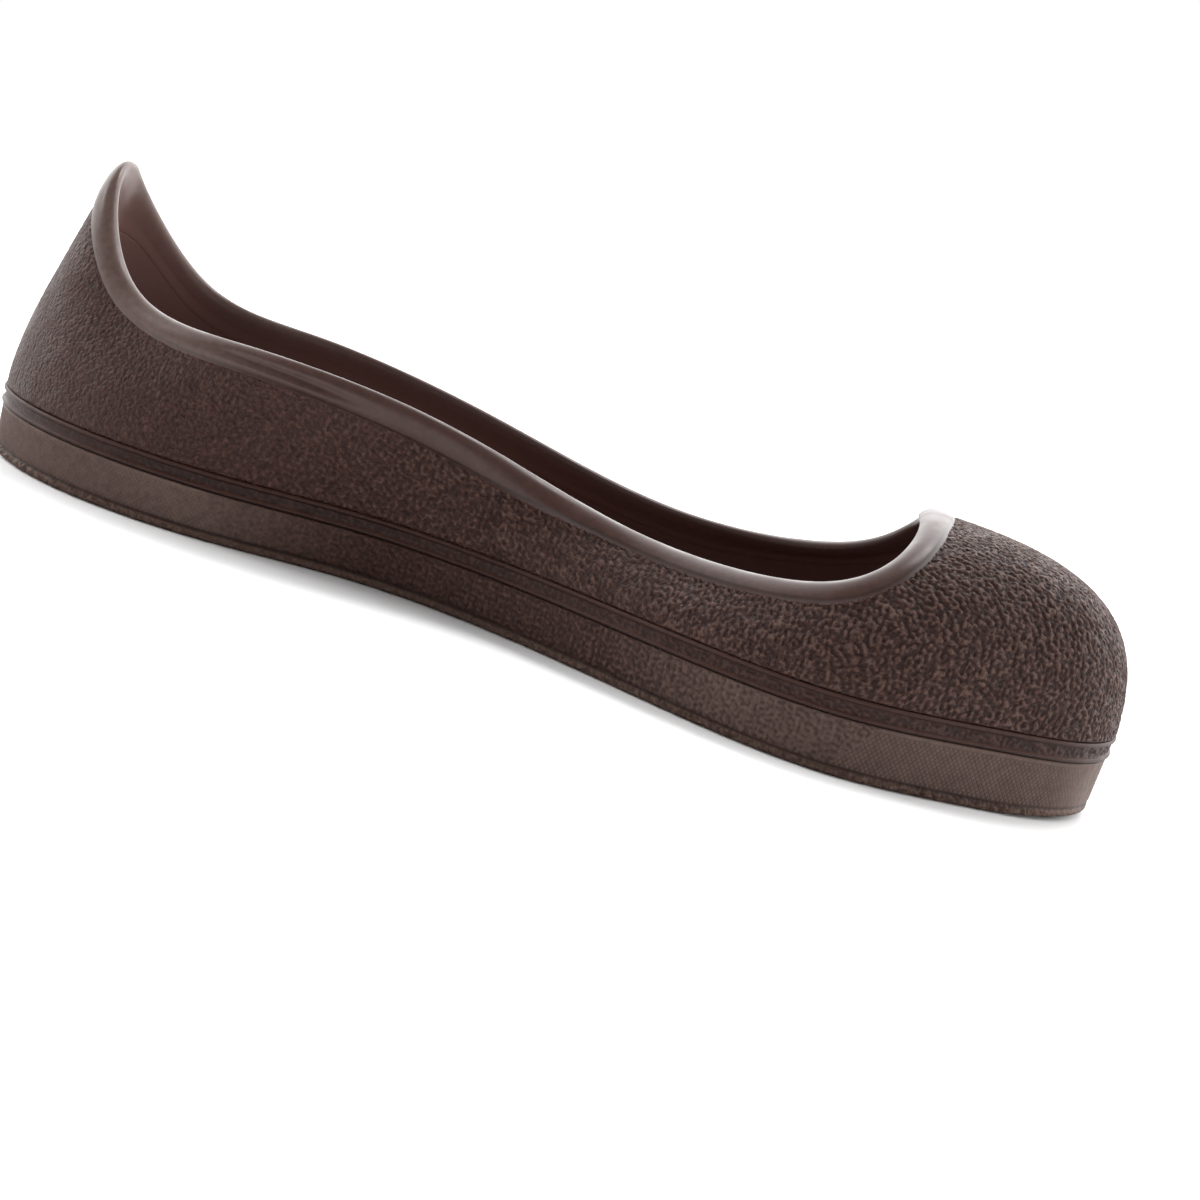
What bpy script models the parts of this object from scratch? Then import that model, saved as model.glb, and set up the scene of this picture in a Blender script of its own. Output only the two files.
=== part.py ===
"""Open moulded rubber overshoe for the left foot, with a closed toe cap and a peaked heel.

Metres, +Z up, +X to the toe, arch (inner) side at -Y. It stands on its tread at z = 0.
Every piece follows one closed outline round the foot, which is read at STATIONS places.
At each of them the outline gives the foot of the wall and the rim gives its top.
"""

import math

import bmesh
import bpy
import numpy as np

# Overall sizes
LENGTH = 0.306
WIDTH = 0.120
UPPER_HEIGHT = 0.0652
GAP = 0.0003

# Outsole: a shallow cup with a flat floor, whose top edge rises towards the toe
BAND_HEIGHT = 0.0123
TOE_RISE = 0.0036
RISE_POWER = 3
FLOOR_RECESS = 0.0033
EDGE_RADIUS = 0.0016
EDGE_ANGLES = (0, 30, 60, 90)
EDGE_INSET = 0.0015
BAND_INSET = 0.0008
FLOOR_FILLET = 0.0012

# Welt strip: two ribs with a channel between them, which widens from the heel to the toe
RIB_RADIUS = 0.0006
RIB_PITCH_HEEL = 0.0032
RIB_PITCH_TOE = 0.0041
LOWER_RIB_INSET = 0.0002
CHANNEL_INSET = 0.0009
RIB_ANGLES = (-90, -45, 0, 45, 90)

# Upper shell and the bead on its top edge
WALL = 0.003
UPPER_INSET = 0.0004
SIDE_SWELL = 0.0021
TOE_SWELL = -0.0011
HEEL_SWELL = 0.0005
HEEL_SPAN_SHARE = 0.12
BEAD_WIDTH = 0.006
BEAD_PROUD = 0.0011

STATIONS = 100
OUTER_ROWS = 12
INNER_ROWS = 9
PROFILE_SAMPLES = 60
CHORD_POWER = 0.8
SHARE_STEP = 0.01
SHARP_ANGLE = 40

# Outline and rim, from heel to toe. Shares of LENGTH: along, rim_along. Shares of WIDTH:
# arch and outer, the half widths of the outline at -Y and +Y, and rim_arch and rim_outer.
# rise_arch and rise_outer are shares of UPPER_HEIGHT above the heel's welt, bead is a share
# of BEAD_WIDTH, and crown tells a plain side wall (0) from the domed toe cap (1).
#    along  arch   outer  rim_along rim_arch rim_outer rise_arch rise_outer bead crown
SECTIONS = (
    (0.000, 0.000, 0.000, 0.051, 0.000, 0.000, 1.010, 1.010, 2.20, 0.0),
    (0.035, 0.200, 0.192, 0.059, 0.120, 0.095, 0.938, 0.899, 1.22, 0.0),
    (0.111, 0.334, 0.288, 0.109, 0.215, 0.246, 0.601, 0.608, 0.98, 0.0),
    (0.239, 0.350, 0.321, 0.231, 0.334, 0.255, 0.518, 0.528, 1.04, 0.0),
    (0.365, 0.243, 0.367, 0.375, 0.317, 0.286, 0.478, 0.455, 1.12, 0.0),
    (0.507, 0.288, 0.438, 0.500, 0.225, 0.330, 0.360, 0.339, 1.11, 0.0),
    (0.646, 0.438, 0.483, 0.615, 0.274, 0.385, 0.296, 0.283, 1.11, 0.2),
    (0.781, 0.512, 0.471, 0.733, 0.396, 0.346, 0.386, 0.382, 0.91, 0.5),
    (0.894, 0.380, 0.380, 0.783, 0.325, 0.300, 0.562, 0.562, 1.06, 0.8),
    (0.971, 0.230, 0.218, 0.790, 0.160, 0.165, 0.660, 0.640, 1.14, 1.0),
    (1.000, 0.000, 0.000, 0.787, 0.000, 0.000, 0.668, 0.668, 1.40, 1.0),
)

# Wall curve between the welt and the rim: the share of the height that its lower handle
# climbs, the share of the span that its upper one reaches out, and the share of the height
# that it drops. Each has a value for a plain side wall and one for the toe cap, as does
# SIDE_SWELL and TOE_SWELL, which the lower handle leans out. The heel's back is straighter: it leans out
# by HEEL_SWELL, up to HEEL_SPAN_SHARE of the length.
HANDLE_CLIMB_SHARE = (0.31, 0.72)
HANDLE_REACH_SHARE = (0.11, 0.775)
HANDLE_DROP_SHARE = (0.13, -0.07)

# Bead section, clockwise from its outer foot: shares of BEAD_WIDTH up the wall, and how far
# out, from the wall's inner face (0) to its outer face (1), with PROUD past that.
#    up    across proud
BEAD_SECTION = (
    (0.00, 1.00, 0.70),
    (0.18, 1.00, 1.00),
    (0.50, 1.00, 1.00),
    (0.78, 1.00, 0.45),
    (0.95, 0.82, 0.00),
    (1.00, 0.50, 0.00),
    (0.94, 0.16, 0.00),
    (0.72, -0.06, 0.00),
    (0.30, -0.08, 0.00),
    (0.00, 0.00, 0.00),
)

# A wider stretch of the bead lies flatter: its share of BEAD_WIDTH, and of BEAD_PROUD
BEAD_WIDENS = (1.27, 2.45)
BEAD_FLATTENS = (1.00, 0.35)

RUBBER = (0.060, 0.043, 0.037)


def clear_scene():
    for old in list(bpy.data.objects):
        bpy.data.objects.remove(old, do_unlink=True)


def rubber(name, roughness):
    material = bpy.data.materials.new(name)
    material.use_nodes = True
    shader = material.node_tree.nodes["Principled BSDF"]
    shader.inputs["Base Color"].default_value = (*RUBBER, 1.0)
    shader.inputs["Roughness"].default_value = roughness
    shader.inputs["Metallic"].default_value = 0.0
    return material


def mix(ends, share):
    """Value between two ends, such as a plain side wall's and the toe cap's."""
    return ends[0] + (ends[1] - ends[0]) * share


def closed_spline(knots, values, at):
    """Smooth closed cubic curve through values, whose knots run round once from 0 to 1."""
    count = len(knots)
    following = np.roll(np.arange(count), -1)
    steps = np.diff(np.append(knots, knots[0] + 1.0))
    system = np.zeros((count, count))
    slopes = (values[following] - values) / steps[:, None]
    for row in range(count):
        before = row - 1
        system[row, before] += steps[before]
        system[row, row] += 2 * (steps[before] + steps[row])
        system[row, following[row]] += steps[row]
    bend = np.linalg.solve(system, 6 * (slopes - np.roll(slopes, 1, axis=0)))
    place = np.searchsorted(knots, at, side="right") - 1
    step = steps[place][:, None]
    done = (at - knots[place])[:, None]
    left = step - done
    start, end = values[place], values[following[place]]
    bend_start, bend_end = bend[place], bend[following[place]]
    curved = (bend_start * left**3 + bend_end * done**3) / (6 * step)
    straight_start = (start / step - bend_start * step / 6) * left
    straight_end = (end / step - bend_end * step / 6) * done
    return curved + straight_start + straight_end


def section_points():
    """The table's rows as points round the foot: along the arch side, then back."""
    rows = np.array(SECTIONS)
    along, arch, outer, rim_along, rim_arch, rim_outer, rise_arch, rise_outer, bead, crown = rows.T
    along, rim_along = along * LENGTH, rim_along * LENGTH
    near = np.column_stack([along, -arch * WIDTH, rim_along, -rim_arch * WIDTH, rise_arch, bead, crown])
    far = np.column_stack([along, outer * WIDTH, rim_along, rim_outer * WIDTH, rise_outer, bead, crown])
    return np.vstack([near, far[-2:0:-1]])


def unit(vectors):
    return vectors / np.linalg.norm(vectors, axis=-1, keepdims=True)


class Foot:
    """The outline, the rim and the outward direction at each station."""

    def __init__(self):
        points = section_points()
        chords = np.linalg.norm(points[:, :2] - np.roll(points[:, :2], -1, axis=0), axis=1)
        spans = chords**CHORD_POWER
        knots = np.concatenate([[0.0], np.cumsum(spans)[:-1]]) / spans.sum()
        at = np.linspace(0.0, 1.0, STATIONS, endpoint=False)
        read = closed_spline(knots, points, at)
        middle = (read[:, :2].min(axis=0) + read[:, :2].max(axis=0)) / 2
        self.along = read[:, 0] / LENGTH
        self.outline = read[:, :2] - middle
        run = unit(np.roll(self.outline, -1, axis=0) - np.roll(self.outline, 1, axis=0))
        self.outward = np.column_stack([run[:, 1], -run[:, 0]])
        self.bead = read[:, 5]
        self.crown = np.clip(read[:, 6], 0.0, 1.0)
        heel_welt = self.upper_rib_height()[0]
        self.rim = np.column_stack([read[:, 2:4] - middle, heel_welt + read[:, 4] * UPPER_HEIGHT])

    def band_top(self):
        return BAND_HEIGHT + TOE_RISE * self.along**RISE_POWER

    def lower_rib_height(self):
        return self.band_top() + GAP + RIB_RADIUS

    def upper_rib_height(self):
        return self.lower_rib_height() + mix((RIB_PITCH_HEEL, RIB_PITCH_TOE), self.along)

    def upper_foot_height(self):
        return self.upper_rib_height() + RIB_RADIUS + GAP

    def ring(self, inset, height):
        """Points inset from the outline, at one height or at one for each station."""
        places = self.outline - self.outward * inset
        heights = np.broadcast_to(height, len(places))
        return np.column_stack([places, heights])


def ring_mesh(name, rings, material, capped):
    """Solid skinned over rings of points: capped at both ends, or joined end to end."""
    mesh = bmesh.new()
    loops = [[mesh.verts.new(point) for point in ring] for ring in rings]
    pairs = list(zip(loops, loops[1:]))
    if not capped:
        pairs.append((loops[-1], loops[0]))
    for lower, upper in pairs:
        for here in range(STATIONS):
            there = (here + 1) % STATIONS
            mesh.faces.new((lower[here], lower[there], upper[there], upper[here]))
    if capped:
        mesh.faces.new(list(reversed(loops[0])))
        mesh.faces.new(loops[-1])
    bmesh.ops.triangulate(mesh, faces=mesh.faces[:], quad_method="BEAUTY", ngon_method="BEAUTY")
    if mesh.calc_volume(signed=True) < 0:
        bmesh.ops.reverse_faces(mesh, faces=mesh.faces[:])
    data = bpy.data.meshes.new(name)
    mesh.to_mesh(data)
    mesh.free()
    data.shade_smooth()
    data.set_sharp_from_angle(angle=math.radians(SHARP_ANGLE))
    data.materials.append(material)
    piece = bpy.data.objects.new(name, data)
    bpy.context.scene.collection.objects.link(piece)
    return piece


def inner_inset():
    return UPPER_INSET + WALL


def make_outsole(foot, material):
    """Cup sole: tread, rounded lower edge, side band, top edge, and the flat floor inside."""
    top = foot.band_top()
    floor = top.min() - FLOOR_RECESS
    rings = []
    for angle in EDGE_ANGLES:
        turn = math.radians(angle)
        inset = EDGE_INSET + EDGE_RADIUS * (1 - math.sin(turn))
        rings.append(foot.ring(inset, EDGE_RADIUS * (1 - math.cos(turn))))
    rings += [
        foot.ring(BAND_INSET, top),
        foot.ring(inner_inset(), top),
        foot.ring(inner_inset(), floor + FLOOR_FILLET),
        foot.ring(inner_inset() + FLOOR_FILLET, floor),
    ]
    return ring_mesh("outsole", rings, material, capped=True)


def rib(foot, crest_inset, height):
    """Half-round rib, from its lower to its upper edge."""
    rings = []
    for angle in RIB_ANGLES:
        turn = math.radians(angle)
        inset = crest_inset + RIB_RADIUS * (1 - math.cos(turn))
        rings.append(foot.ring(inset, height + RIB_RADIUS * math.sin(turn)))
    return rings


def make_welt_strip(foot, material):
    low, high = foot.lower_rib_height(), foot.upper_rib_height()
    rings = [foot.ring(inner_inset(), low - RIB_RADIUS)]
    rings += rib(foot, LOWER_RIB_INSET, low)
    rings.append(foot.ring(CHANNEL_INSET, low + RIB_RADIUS))
    rings.append(foot.ring(CHANNEL_INSET, high - RIB_RADIUS))
    rings += rib(foot, 0.0, high)
    rings.append(foot.ring(inner_inset(), high + RIB_RADIUS))
    return ring_mesh("welt_strip", rings, material, capped=False)


class Wall:
    """Outer face of the upper, from its foot on the welt to the rim."""

    def __init__(self, foot):
        self.foot = foot.ring(UPPER_INSET, foot.upper_foot_height())
        self.rim = foot.rim
        self.bead = foot.bead
        crown = foot.crown[:, None]
        height = self.rim[:, 2:] - self.foot[:, 2:]
        span = self.rim - self.foot
        span[:, 2] = 0.0
        up = np.array([0.0, 0.0, 1.0])
        outward = np.column_stack([foot.outward, np.zeros(STATIONS)])
        self.low = self.foot + up * height * mix(HANDLE_CLIMB_SHARE, crown)
        heel = np.clip(foot.along / HEEL_SPAN_SHARE, 0.0, 1.0)[:, None]
        side_swell = mix((HEEL_SWELL, SIDE_SWELL), heel * heel * (3 - 2 * heel))
        self.low += outward * mix((side_swell, TOE_SWELL), crown)
        self.high = self.rim - span * mix(HANDLE_REACH_SHARE, crown)
        self.high -= up * height * mix(HANDLE_DROP_SHARE, crown)
        self.measure()

    def at(self, share):
        """Points on the wall at one share of the way up for each station."""
        share = np.broadcast_to(share, STATIONS)[:, None]
        rest = 1 - share
        ends = self.foot * rest**3 + self.rim * share**3
        return ends + 3 * rest * share * (self.low * rest + self.high * share)

    def measure(self):
        """Length of the wall curve up to each sampled share, for each station."""
        self.shares = np.linspace(0.0, 1.0, PROFILE_SAMPLES)
        points = np.array([self.at(share) for share in self.shares])
        steps = np.linalg.norm(np.diff(points, axis=0), axis=2)
        self.lengths = np.vstack([np.zeros(STATIONS), np.cumsum(steps, axis=0)])

    def share_below_rim(self, distance):
        """Share of the way up that lies the given distance below the rim."""
        wanted = self.lengths[-1] - distance
        found = [np.interp(wanted[i], self.lengths[:, i], self.shares) for i in range(STATIONS)]
        return np.array(found)

    def directions(self, share):
        """Unit vectors up the wall, round the foot and out of the wall."""
        share = np.maximum(share, SHARE_STEP)
        upward = unit(self.at(share) - self.at(share - SHARE_STEP))
        points = self.at(share)
        around = unit(np.roll(points, -1, axis=0) - np.roll(points, 1, axis=0))
        return upward, around, unit(np.cross(around, upward))


def bead_length(wall):
    """Bead width measured up the wall, longer where the rim climbs steeply."""
    upward, around, _ = wall.directions(np.ones(STATIONS))
    sine = np.linalg.norm(np.cross(around, upward), axis=1)
    return BEAD_WIDTH * wall.bead / sine


def make_upper_shell(wall, material):
    top = wall.share_below_rim(bead_length(wall) + GAP)
    outer = [wall.at(top * row / (OUTER_ROWS - 1)) for row in range(OUTER_ROWS)]
    inner = []
    for row in range(INNER_ROWS - 1, -1, -1):
        share = top * row / (INNER_ROWS - 1)
        out = wall.directions(share)[2]
        ring = wall.at(share) - out * WALL
        if row == 0:
            ring[:, 2] = outer[0][:, 2]
        inner.append(ring)
    return ring_mesh("upper_shell", outer + inner, material, capped=False)


def make_topline_rim(wall, material):
    length = bead_length(wall)
    share = wall.share_below_rim(length)
    base = wall.at(share)
    out = wall.directions(share)[2]
    climb = wall.rim - base
    stands_out = BEAD_PROUD * np.interp(wall.bead, BEAD_WIDENS, BEAD_FLATTENS)
    rings = []
    for up, across, proud in BEAD_SECTION:
        reach = (across - 1) * WALL + proud * stands_out
        rings.append(base + climb * up + out * reach[:, None])
    return ring_mesh("topline_rim", rings, material, capped=False)


def main():
    clear_scene()
    foot = Foot()
    wall = Wall(foot)
    make_outsole(foot, rubber("sole_rubber", 0.70))
    make_welt_strip(foot, rubber("welt_rubber", 0.62))
    make_upper_shell(wall, rubber("upper_rubber", 0.66))
    make_topline_rim(wall, rubber("rim_rubber", 0.45))


main()
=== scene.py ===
"""Looks of the open moulded rubber overshoe, on the outlines that its solids follow.

Metres, in the frame's axes: toe at +X, arch (inner) side at -Y, tread at z = 0. Every piece
is skinned again over the same closed outline as its solid, in finer steps, and its grain,
knurled panels and rough edges are real relief. Its colour also carries painted shade,
painted highlights and painted light.
"""

import math

import bpy
import numpy as np
from mathutils import Matrix, Vector


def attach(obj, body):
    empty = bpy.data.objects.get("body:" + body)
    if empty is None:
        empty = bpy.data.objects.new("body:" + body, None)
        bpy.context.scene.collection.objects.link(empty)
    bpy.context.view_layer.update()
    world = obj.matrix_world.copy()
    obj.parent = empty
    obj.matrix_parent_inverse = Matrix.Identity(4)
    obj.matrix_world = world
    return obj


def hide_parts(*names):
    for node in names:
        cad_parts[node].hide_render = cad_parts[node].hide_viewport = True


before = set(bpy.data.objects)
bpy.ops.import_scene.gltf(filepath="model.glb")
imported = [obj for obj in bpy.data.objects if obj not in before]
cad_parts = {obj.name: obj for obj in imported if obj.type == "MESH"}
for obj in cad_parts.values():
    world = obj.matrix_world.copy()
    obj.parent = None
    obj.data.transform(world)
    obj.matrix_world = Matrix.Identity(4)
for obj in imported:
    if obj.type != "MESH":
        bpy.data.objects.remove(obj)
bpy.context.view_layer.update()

# Sizes of the solids that the looks lie on
LENGTH = 0.306
WIDTH = 0.120
UPPER_HEIGHT = 0.0652
GAP = 0.0003
BAND_HEIGHT = 0.0123
TOE_RISE = 0.0036
RISE_POWER = 3
FLOOR_RECESS = 0.0033
EDGE_RADIUS = 0.0007
EDGE_INSET = 0.0015
BAND_INSET = 0.0008
FLOOR_FILLET = 0.0012
RIB_RADIUS = 0.0006
RIB_PITCH_HEEL = 0.0032
RIB_PITCH_TOE = 0.0041
LOWER_RIB_INSET = 0.0002
CHANNEL_INSET = 0.0009
WALL = 0.003
UPPER_INSET = 0.0004
SIDE_SWELL = 0.0021
TOE_SWELL = -0.0011
HEEL_SWELL = 0.0005
HEEL_SPAN_SHARE = 0.12
BEAD_WIDTH = 0.006
BEAD_PROUD = 0.0011
CHORD_POWER = 0.8
CAD_STATIONS = 100

# Outline and rim, from heel to toe. Shares of LENGTH: along, rim_along. Shares of WIDTH:
# arch and outer, the half widths of the outline at -Y and +Y, and rim_arch and rim_outer.
# rise_arch and rise_outer are shares of UPPER_HEIGHT above the heel's welt, bead is a share
# of BEAD_WIDTH, and crown tells a plain side wall (0) from the domed toe cap (1).
#    along  arch   outer  rim_along rim_arch rim_outer rise_arch rise_outer bead crown
SECTIONS = (
    (0.000, 0.000, 0.000, 0.051, 0.000, 0.000, 1.010, 1.010, 2.20, 0.0),
    (0.035, 0.200, 0.192, 0.059, 0.120, 0.095, 0.938, 0.899, 1.22, 0.0),
    (0.111, 0.334, 0.288, 0.109, 0.215, 0.246, 0.601, 0.608, 0.98, 0.0),
    (0.239, 0.350, 0.321, 0.231, 0.334, 0.255, 0.518, 0.528, 1.04, 0.0),
    (0.365, 0.243, 0.367, 0.375, 0.317, 0.286, 0.478, 0.455, 1.12, 0.0),
    (0.507, 0.288, 0.438, 0.500, 0.225, 0.330, 0.360, 0.339, 1.11, 0.0),
    (0.646, 0.438, 0.483, 0.615, 0.274, 0.385, 0.296, 0.283, 1.11, 0.2),
    (0.781, 0.512, 0.471, 0.733, 0.396, 0.346, 0.386, 0.382, 0.91, 0.5),
    (0.894, 0.380, 0.380, 0.783, 0.325, 0.300, 0.562, 0.562, 1.06, 0.8),
    (0.971, 0.230, 0.218, 0.790, 0.160, 0.165, 0.660, 0.640, 1.14, 1.0),
    (1.000, 0.000, 0.000, 0.787, 0.000, 0.000, 0.668, 0.668, 1.40, 1.0),
)

# Handles of the wall's curve, for a plain side wall and for the toe cap
HANDLE_CLIMB_SHARE = (0.31, 0.72)
HANDLE_REACH_SHARE = (0.11, 0.775)
HANDLE_DROP_SHARE = (0.13, -0.07)

# A wider stretch of the bead lies flatter: its share of BEAD_WIDTH, and of BEAD_PROUD
BEAD_WIDENS = (1.27, 2.20)
BEAD_FLATTENS = (1.00, 0.30)

# Bead section, clockwise from its outer foot: shares of BEAD_WIDTH up the wall, and how far
# out, from the wall's inner face (0) to its outer face (1), with PROUD past that
#    up    across proud
BEAD_SECTION = (
    (0.00, 1.00, 0.70),
    (0.18, 1.00, 1.00),
    (0.50, 1.00, 1.00),
    (0.78, 1.00, 0.45),
    (0.95, 0.82, 0.00),
    (1.00, 0.50, 0.00),
    (0.94, 0.16, 0.00),
    (0.72, -0.06, 0.00),
    (0.30, -0.08, 0.00),
    (0.00, 0.00, 0.00),
)

# Steps of the meshes. The sole's stations and rows follow the knurl's pitch.
KNURL_PITCH = 0.00135
STEPS_A_KNURL = 4
OUTLINE_SAMPLES = 8000
UPPER_STATIONS = 1620
GRAIN_STEP = 0.00061
PROFILE_SAMPLES = 60
LEAST_ROWS = 4
PLAIN_EVERY = 4
PLAIN_ROWS = 12
BEAD_STEPS = 26
SHARE_STEP = 0.004
EDGE_ANGLES = (0.0, 22.5, 45.0, 67.5)
FILLET_ANGLES = (30, 60, 90)
RIB_ANGLES = range(-90, 91, 18)
CHANNEL_SHARES = (0.08, 0.22, 0.36, 0.5, 0.64, 0.78, 0.92)

# Bevel of the sole's inner top edge
INNER_BEVEL = 0.0004

# A flat face has rings drawn in by these shares towards a line along its middle, with one
# of the outline's points in FLAT_EVERY. The line ends FLAT_REACH before the face does.
FLAT_SHARES = (0.06, 0.30, 0.65)
FLAT_EVERY = 6
FLAT_REACH = 0.36 * WIDTH

# Grain of the upper, the channel and the waist of the sole, by the pitch of its ridges. It
# is soft at the heel and deepens, in relief and in the contrast of its painted shade in the
# pits and painted highlight on the ridges, between two places along.
GRAIN_PITCH = 0.00150
SOLE_GRAIN_PITCH = 0.00135
GRAIN_WAVES = 96
GRAIN_SPREAD = 0.30
GRAIN_HARDNESS = 1.2
GRAIN_DEEPENS = (0.10, 0.80)
GRAIN_DEPTH = (0.00007, 0.00028)
GRAIN_PAINTED_SHADE_CONTRAST = (0.40, 1.30)
GRAIN_FADE = 0.0007

# Slow, shallow unevenness of the upper
WAVER_PITCH = 0.035
WAVER_WAVES = 24
WAVER_DEPTH = 0.00010

# Side band: knurled panels round the heel and the toe, whose ends slant, grain between them.
# Panel ends are shares of LENGTH at the top of the band and at the tread. The knurling fades
# in at the back of the heel and nearly out at the tip, and its painted shade in the grooves
# and painted highlight on the diamonds are stronger at the toe.
HEEL_PANEL = (0.239, 0.262)
TOE_PANEL_ARCH = (0.811, 0.774)
TOE_PANEL_OUTER = (0.783, 0.757)
PANEL_LIP = 0.0011
PANEL_EDGE = 0.0012
SIDE_FADE = 0.0004
KNURL_DEPTH = 0.00022
KNURL_ROUNDNESS = 0.7
KNURL_FADES_IN = (0.00, 0.02)
KNURL_FADES_OUT = (0.95, 0.99)
KNURL_LOST_AT_TIP = 0.8
KNURL_PAINTED_CONTRAST = (0.4, 1.0)
KNURL_SHARPENS = (0.2, 0.6)

# Flash: the ragged, frayed lower edge of the band, with a groove along its top
FLASH_HEIGHT = 0.0023
FLASH_PROUD = 0.00040
FLASH_FADE = 0.0006
FLASH_GRAIN = 1.5
FLASH_RAG = 0.00040
FLASH_RAG_PITCH = 0.0024
FLASH_RAG_SPREAD = 0.6
FLASH_FRAY = 0.00035
FRAYED_ROWS = len(EDGE_ANGLES) + 1
GROOVE_DEPTH = 0.00030
GROOVE_WIDTH = 0.0005

# The sole's edge lifts a little towards the tip of the toe, from TIP_FROM on, and has no
# flash there
TIP_LIFT = 0.0015
TIP_FROM = 0.90

# Tones: how strongly a relief shows in the colour, below 0 towards the dark of the pits and
# above it towards the pale of the ridges: painted shade in the pits and grooves, and a painted
# highlight on the ridges, the diamonds, the rags and the tops of the ribs. The knurl's two
# tones are those of a groove and of a diamond. Shades, painted shade in the channel, over the
# whole welt and along the bead's seam, are taken off.
WAIST_GRAIN_PAINTED_SHADING = 0.75
KNURL_PAINTED_SHADE_AND_HIGHLIGHT = (-1.2, 0.8)
FLASH_PAINTED_SHADING = 0.8
GROOVE_PAINTED_SHADE = 1.3
RIB_PAINTED_HIGHLIGHT_AND_SHADE = 0.85
CHANNEL_GRAIN_PAINTED_SHADING = 0.8
CHANNEL_SHADE = 0.5
WELT_SHADE = 0.25
SEAM_SHADE = 0.8

# Painted light, paler colour towards both ends of the sole and on the heel's bead: how much,
# and where along it starts and ends. The knurled panels add to it, one amount at the heel and
# one at the toe, which turns from one to the other at PANEL_TURNS.
TOE_PAINTED_LIGHT = 0.70
TOE_PAINTED_LIGHT_SPAN = (0.56, 0.70)
HEEL_PAINTED_LIGHT = 0.68
HEEL_PAINTED_LIGHT_SPAN = (0.20, 0.38)
PANEL_PAINTED_LIGHT = (0.20, 0.22)
PANEL_TURNS = (0.4, 0.6)
BEAD_PAINTED_HIGHLIGHT = 0.62
BEAD_PAINTED_HIGHLIGHT_SPAN = (0.14, 0.32)

# The bead's two lobes along the heel quarter: where they rise and sink again along, and the
# lower lobe's ridge and the valley above it, each by how far it goes out or in, its place up
# the bead and its width
LOBES_RISE = (0.20, 0.26)
LOBES_SINK = (0.28, 0.36)
LOBE_RIDGE = (0.0006, 0.20, 0.11)
LOBE_VALLEY = (0.0010, 0.48, 0.13)
SEAM_WIDTH = 0.06

# How far across the bead's section its outside begins, and its inside ends. The colour of
# the inside dies out towards the top by this power.
BEAD_OUTSIDE = (0.6, 1.0)
BEAD_INSIDE = (-0.05, 0.5)
BEAD_INSIDE_POWER = 0.7

# The bead's lip, which covers its seam inside. Its rings: shares of LIP_REACH below the
# seam, and of LIP_THICK in front of the wall's inner face.
LIP_REACH = 0.0040
LIP_THICK = 0.00008
LIP_RINGS = ((0.4, 1.0), (0.7, 0.7), (1.0, -1.0))

# Colours of the rubber, and sizes of the blotches of its noise, in metres. The pits' colour
# is painted shade and the ridges' a painted highlight.
RUBBER = (0.043, 0.0178, 0.0135)
PAINTED_PIT_SHADE = (0.016, 0.0062, 0.0047)
PAINTED_RIDGE_HIGHLIGHT = (0.108, 0.0600, 0.0470)
# Painted light: the paler colour that the sole's ends, its knurled panels and the heel's bead take on.
PAINTED_LIGHT_COLOUR = (0.112, 0.074, 0.061)
WORN_DUST = (0.052, 0.028, 0.023)
# The inside: its own tone, made paler than the rubber outside as painted light.
INSIDE_TONE_AND_PAINTED_LIGHT = (0.128, 0.070, 0.061)
FRAYED = (0.125, 0.078, 0.060)
MOTTLE_SIZE = 0.030
SHEEN_SIZE = 0.004
SPECKLE_SIZE = 0.0009
SMALL_GRAIN_SIZE = 0.00045
FINE_SIZE = 0.0002

# How the colours take over: from one value to another of the relief or the noise and, where
# four numbers are given, from one strength to another. Painted shade takes over in the pits
# and the small pits, a painted highlight on the ridges and painted light above the pits.
PAINTED_SHADE_IN_PITS = (-0.9, 0.1)
PAINTED_HIGHLIGHT_ON_RIDGES = (0.1, 1.0, 0.0, 0.75)
SMALL_PITS_PAINTED_SHADE = (0.34, 0.56, 0.55, 0.0)
PAINTED_LIGHT_ABOVE_PITS = (-2.0, 0.2)
MOTTLE = (0.35, 0.70, 0.0, 0.30)
SPECKLE = (0.30, 0.70, 0.82, 1.12)
FRAYED_STRENGTH = 0.6
SHEEN = (0.3, 0.7)
SHEEN_CHANGE = (-0.05, 0.06)

# Floor, just below the tread
FLOOR_REACH = 6.0
FLOOR_DROP = 0.0001
FLOOR_COLOUR = (0.95, 0.95, 0.95)
FLOOR_ROUGHNESS = 0.9

# Light of the room: a bright band behind, which reaches round the sides by SIDE_SHARE and
# dims overhead and at the horizon, and a light all round, brightest low down. BEHIND is a
# range of the direction seen from front to back. The others are ranges of its height, 0 at
# the horizon and 1 overhead, and then of the strength.
BAND_BRIGHTNESS = 4.0
SIDE_SHARE = 0.40
BEHIND = (-0.05, 0.50)
DIMS_OVERHEAD = (0.62, 0.95, 1.0, 0.12)
DIMS_AT_HORIZON = (0.02, 0.40, 0.38, 1.0)
LIGHT_ALL_ROUND = (0.0, 0.30, 1.68, 0.42)

# Camera that took the photograph, relative to this overshoe: a frame of 1200 pixels, with
# the pixel where the middle of the tread falls
FRAME_PIXELS = 1200
FOCAL_PIXELS = 2263.8
MIDDLE_PIXEL = (526.0, 620.0)
CAMERA_DISTANCE = 0.5943
CAMERA_YAW = 6.59
CAMERA_ELEVATION = 10.085
CAMERA_ROLL = 17.633
SENSOR_WIDTH = 36.0
CLIP_START = 0.01


def unit(vectors):
    return vectors / np.linalg.norm(vectors, axis=-1, keepdims=True)


def mix(ends, share):
    return ends[0] + (ends[1] - ends[0]) * share


def smooth_step(low, high, value):
    share = np.clip((value - low) / (high - low), 0.0, 1.0)
    return share * share * (3 - 2 * share)


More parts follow.
